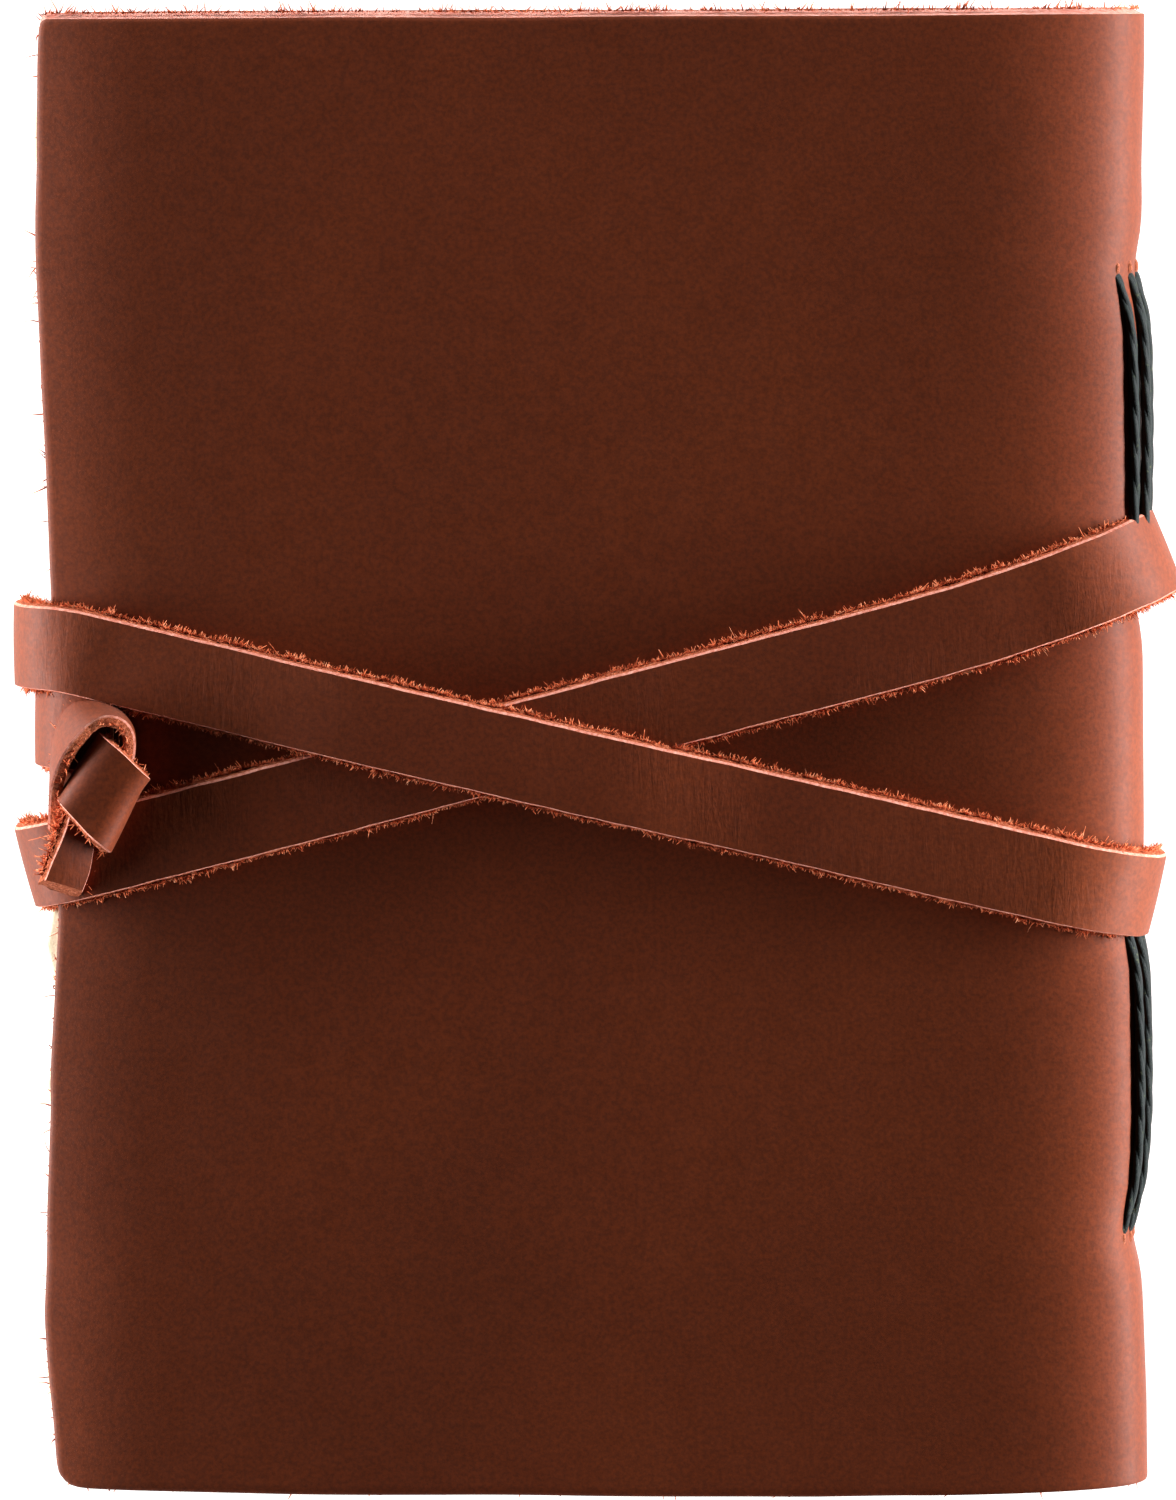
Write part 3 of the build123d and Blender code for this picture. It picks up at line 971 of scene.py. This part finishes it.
def between(one, other, outward):
    """Rows and widths of a strap that runs between two edge lines; outward is a point inside its bend."""
    one, other = resample(one, 0.35), resample(other, 0.35)
    count = max(len(one), len(other))

    def spread(line):
        """The same line, with as many points as the longer one."""
        at, marks = np.linspace(0, 1, count), np.linspace(0, 1, len(line))
        return soften(np.column_stack([np.interp(at, marks, column) for column in line.T]), 14)

    one, other = spread(one), spread(other)
    middle = (one + other) / 2
    tangents = np.gradient(middle, axis=0)
    rows = []
    for i in range(count):
        out = unit(np.cross(one[i] - other[i], tangents[i]))
        if out @ (middle[i] - np.asarray(outward)) < 0:
            out = -out
        rows.append((*middle[i], *out))
    return rows, np.linalg.norm(one - other, axis=1)


def band(rows, widths, thickness, seed=0.0, skive=0.0, rim=0.36):
    """A strap along rows of (x, y, z, outward x, y, z). Returns mesh lists and both cut edges.

    skive is how far the flesh side reaches past the grain at the last row."""
    rows = np.asarray(rows, float)
    widths = np.broadcast_to(np.asarray(widths, float), (len(rows),))
    tangents = np.gradient(rows[:, :3], axis=0)
    verts, faces, places = [], [], []
    left, right = [], []
    for i, (row, tangent, width) in enumerate(zip(rows, tangents, widths)):
        point, tangent = row[:3], unit(tangent)
        out = unit(row[3:6] - tangent * (row[3:6] @ tangent))
        across = np.cross(tangent, out)
        shape = section(width / 2, thickness, rim)
        for s, h, what in shape:
            there = point + s * across
            edge_line = 0.09 * rough(*there, 0.25, seed + 2) * (abs(s) > width * 0.4)
            wobble = 0.22 * rough(*there, 1.5, seed + h) if what == EDGE else 0.0
            sag = 0.08 * rough(*there, 0.9, seed + 5) if what == FLESH else 0.0
            vert = there + across * math.copysign(1, s) * (wobble + edge_line) + out * (h + sag)
            if skive and i >= len(rows) - 3:
                vert += tangent * skive * (0.5 - h / thickness) * (1 + 0.6 * rough(*there, 1.1, seed))
            verts.append(vert)
        low = -out * thickness * 0.2
        left.append((point - across * width / 2 + low, -across))
        right.append((point + across * width / 2 + low, across))
    places_of = [what for _, _, what in section(1, thickness)]
    size = len(places_of)
    for i in range(len(rows) - 1):
        for k in range(size):
            a, b = i * size + k, i * size + (k + 1) % size
            faces.append((a, b, b + size, a + size))
            pair = (places_of[k], places_of[(k + 1) % size])
            places.append(EDGE if EDGE in pair else RIM if RIM in pair else pair[0])
    for base, order in ((0, 1), ((len(rows) - 1) * size, -1)):
        faces.append(tuple(range(base, base + size))[::order])
        places.append(EDGE)
    return verts, faces, places, left, right


FRONT_LEVEL = 5  # an edge above this height lies on the journal's front
BACK_DENSITY = 0.3  # of the fibres, where an edge is out of sight


def edge_runs(edge):
    """An edge split where it passes FRONT_LEVEL: (whether it is on the front, its roots) for each run."""
    runs = []
    for root in edge:
        front = root[0][2] > FRONT_LEVEL
        if runs and front != runs[-1][0]:
            runs[-1][1].append(root)
        if not runs or front != runs[-1][0]:
            runs.append((front, []))
        runs[-1][1].append(root)
    return runs


def build_strap():
    route = soften(resample(strap_route(), 1.0), 6)
    verts, faces, places, left, right = band(route, STRAP_WIDTH, STRAP)
    strap = make_mesh("strap_wrap", verts, faces, STRAP_SET, places)
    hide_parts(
        "strap_first_end",
        "strap_fore_loop_tail",
        "strap_front_under",
        "strap_spine_loop_head",
        "strap_back_head",
        "strap_fore_loop_head",
        "strap_front_over",
        "strap_spine_loop_tail",
        "strap_back_tail",
        "strap_fore_loop_middle",
    )
    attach(strap, "strap")
    parts = []
    for edge, seed, per_mm, longest in ((left, 21, 56.0, 0.32), (right, 31, 32.0, 0.28)):
        for number, (front, roots) in enumerate(edge_runs(edge)):
            density = per_mm if front else per_mm * BACK_DENSITY
            parts.append(fuzz(roots, seed + number, density, longest))
    verts, faces = gather(parts)
    fibres = make_mesh("strap_fibres", verts, faces, (FIBRES,))
    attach(fibres, "strap")


# ---------------- knot

KNOT_INSIDE = (-69.5, -3.5)  # a point within the knot's arch and ring


def over_cover(points):
    """(x, y, height) over the cover's face beside the knot, as the camera sees them, to millimetre points."""
    ground = COVER_TOP * pinch(-70, -2)
    return [(*seen(x, y, height), ground + height) for x, y, height in points]


def knot_ring():
    """The turn of strap that holds the knot: rows, widths and thickness."""
    head = np.array((-65.05, -0.93)), np.array((2.62, -2.72))
    tail = np.array((-70.65, -10.87)), np.array((3.1, -3.35))
    lines = [[], []]
    for angle in np.radians(np.linspace(-80, 280, 72)):
        square = 0.16 * math.sin(2 * angle) ** 2
        for line, (centre, half), level, tall in ((lines[0], head, 3.3, 2.5), (lines[1], tail, 3.9, 2.5)):
            x, y = centre + half * math.cos(angle) * (1 + square)
            line.append((x, y, level + tall * math.sin(angle) * (1 + square)))
    inside = over_cover([(-67.85, -5.9, 3.6)])[0]
    return between(over_cover(lines[0]), over_cover(lines[1]), inside)


def knot_arch():
    """The strap on its edge, from under the ring's left, round its head, into its right."""
    upper = [
        (-74.7, -11.0, 3.4), (-74.6, -8.6, 4.4), (-74.4, -6.0, 5.2), (-73.6, -3.2, 6.0), (-72.4, -0.8, 6.4),
        (-70.8, 1.35, 6.6), (-69.3, 2.8, 6.6), (-67.3, 3.7, 6.5), (-65.3, 3.4, 6.2), (-64.2, 2.0, 5.6),
        (-64.1, -0.2, 4.8), (-64.6, -2.6, 4.0),
    ]
    lower = [
        (-74.4, -11.0, 0.7), (-74.4, -8.6, 0.6), (-74.4, -5.6, 0.6), (-74.4, -2.0, 0.7), (-73.9, 1.4, 0.9),
        (-73.1, 4.2, 1.1), (-71.6, 6.0, 1.3), (-68.9, 6.1, 1.6), (-65.9, 4.8, 1.8), (-64.2, 2.9, 2.0),
        (-64.2, 0.4, 2.0), (-64.8, -2.4, 1.8),
    ]
    inside = over_cover([(*KNOT_INSIDE, 2.0)])[0]
    return between(over_cover(upper), over_cover(lower), inside)


def knot_tail():
    """The strap's last end: out from under the ring, twisted so that its left cut edge faces up."""
    left = [
        (-71.9, -6.4, 4.4), (-73.2, -10.4, 5.0), (-74.4, -13.4, 5.2), (-75.3, -15.7, 5.0),
        (-75.9, -17.2, 4.8),
    ]
    right = [
        (-68.4, -8.6, 3.2), (-69.3, -12.0, 2.8), (-69.9, -14.6, 2.5), (-70.4, -17.6, 2.4),
        (-71.4, -20.2, 2.4),
    ]
    inside = over_cover([(-76.0, -16.0, -6.0)])[0]
    return between(over_cover(left), over_cover(right), inside)


def build_knot():
    pieces = (
        ("knot_ring", knot_ring(), 1.6, 31, 0.0, ("strap_knot",), (5.0, 5.0), 0.4),
        ("knot_arch", knot_arch(), 1.7, 32, 0.0, (), (14.0, 2.0), 0.6),
        ("knot_last_end", knot_tail(), 2.2, 33, 1.4, ("strap_last_end",), (26.0, 26.0), 0.8),
    )
    edges = []
    for name, (rows, widths), thickness, seed, skive, nodes, thick_fuzz, longest in pieces:
        verts, faces, places, left, right = band(rows, widths, thickness, seed, skive, rim=0.2)
        piece = make_mesh(name, verts, faces, STRAP_SET, places)
        if nodes:
            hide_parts(*nodes)
        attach(piece, "strap")
        edges.append(fuzz(left, seed, thick_fuzz[0], longest))
        edges.append(fuzz(right, seed + 50, thick_fuzz[1], longest))
    verts, faces = gather(edges)
    fibres = make_mesh("knot_fibres", verts, faces, (FIBRES,))
    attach(fibres, "strap")


# ---------------- stage


def build_camera():
    data = bpy.data.cameras.new("camera")
    camera = bpy.data.objects.new("camera", data)
    bpy.context.scene.collection.objects.link(camera)
    eye = MIDDLE + Vector(EYE) * MM
    aim = MIDDLE + Vector((-1.35, 0.3, 4)) * MM
    data.sensor_fit = "VERTICAL"
    data.sensor_height = 24.0
    data.lens = 126.3
    data.clip_start = 0.05
    camera.location = eye
    forward = (aim - eye).normalized()
    roll = 0.0044
    up = Vector((math.sin(roll), math.cos(roll), 0))
    right = forward.cross(up).normalized()
    above = right.cross(forward)
    camera.rotation_euler = Matrix((right, above, -forward)).transposed().to_euler()
    bpy.context.scene.camera = camera


LIGHT_SIZE = (1.2, 0.13)  # metres, along the journal and up


def build_light(name, place_m, aim, power):
    data = bpy.data.lights.new(name, "AREA")
    data.shape = "RECTANGLE"
    data.size, data.size_y = LIGHT_SIZE
    data.energy = power
    light = bpy.data.objects.new(name, data)
    light.location = place_m
    light.rotation_euler = (Vector(aim) - Vector(place_m)).to_track_quat("-Z", "Y").to_euler()
    bpy.context.scene.collection.objects.link(light)


def build_stage():
    floor = bpy.data.meshes.new("floor")
    size = 4.0
    corners = [(-size, -size, 0), (size, -size, 0), (size, size, 0), (-size, size, 0)]
    floor.from_pydata(corners, [], [(0, 1, 2, 3)])
    floor.materials.append(floor_white())
    stage = bpy.data.objects.new("floor", floor)
    bpy.context.scene.collection.objects.link(stage)
    world = bpy.data.worlds.new("world")
    world.use_nodes = True
    world.node_tree.nodes["Background"].inputs[0].default_value = (1, 1, 1, 1)
    world.node_tree.nodes["Background"].inputs[1].default_value = 0.02
    bpy.context.scene.world = world
    build_light("light_spine_side", (0.75, 0.10, 0.096), (0.03, 0, 0.02), 22)
    build_light("light_fore_side", (-0.75, 0.10, 0.092), (-0.03, 0, 0.02), 19)
    bpy.context.scene.view_settings.view_transform = "Standard"


build_camera()
build_stage()
head_edge, fore_edge_roots, tail_edge = build_hide()
build_cover_fibres(head_edge, fore_edge_roots, tail_edge)
for signature in range(1, SIGNATURES + 1):
    build_signature(signature)
    build_stitches(signature)
    build_slits(signature)
build_strap()
build_knot()
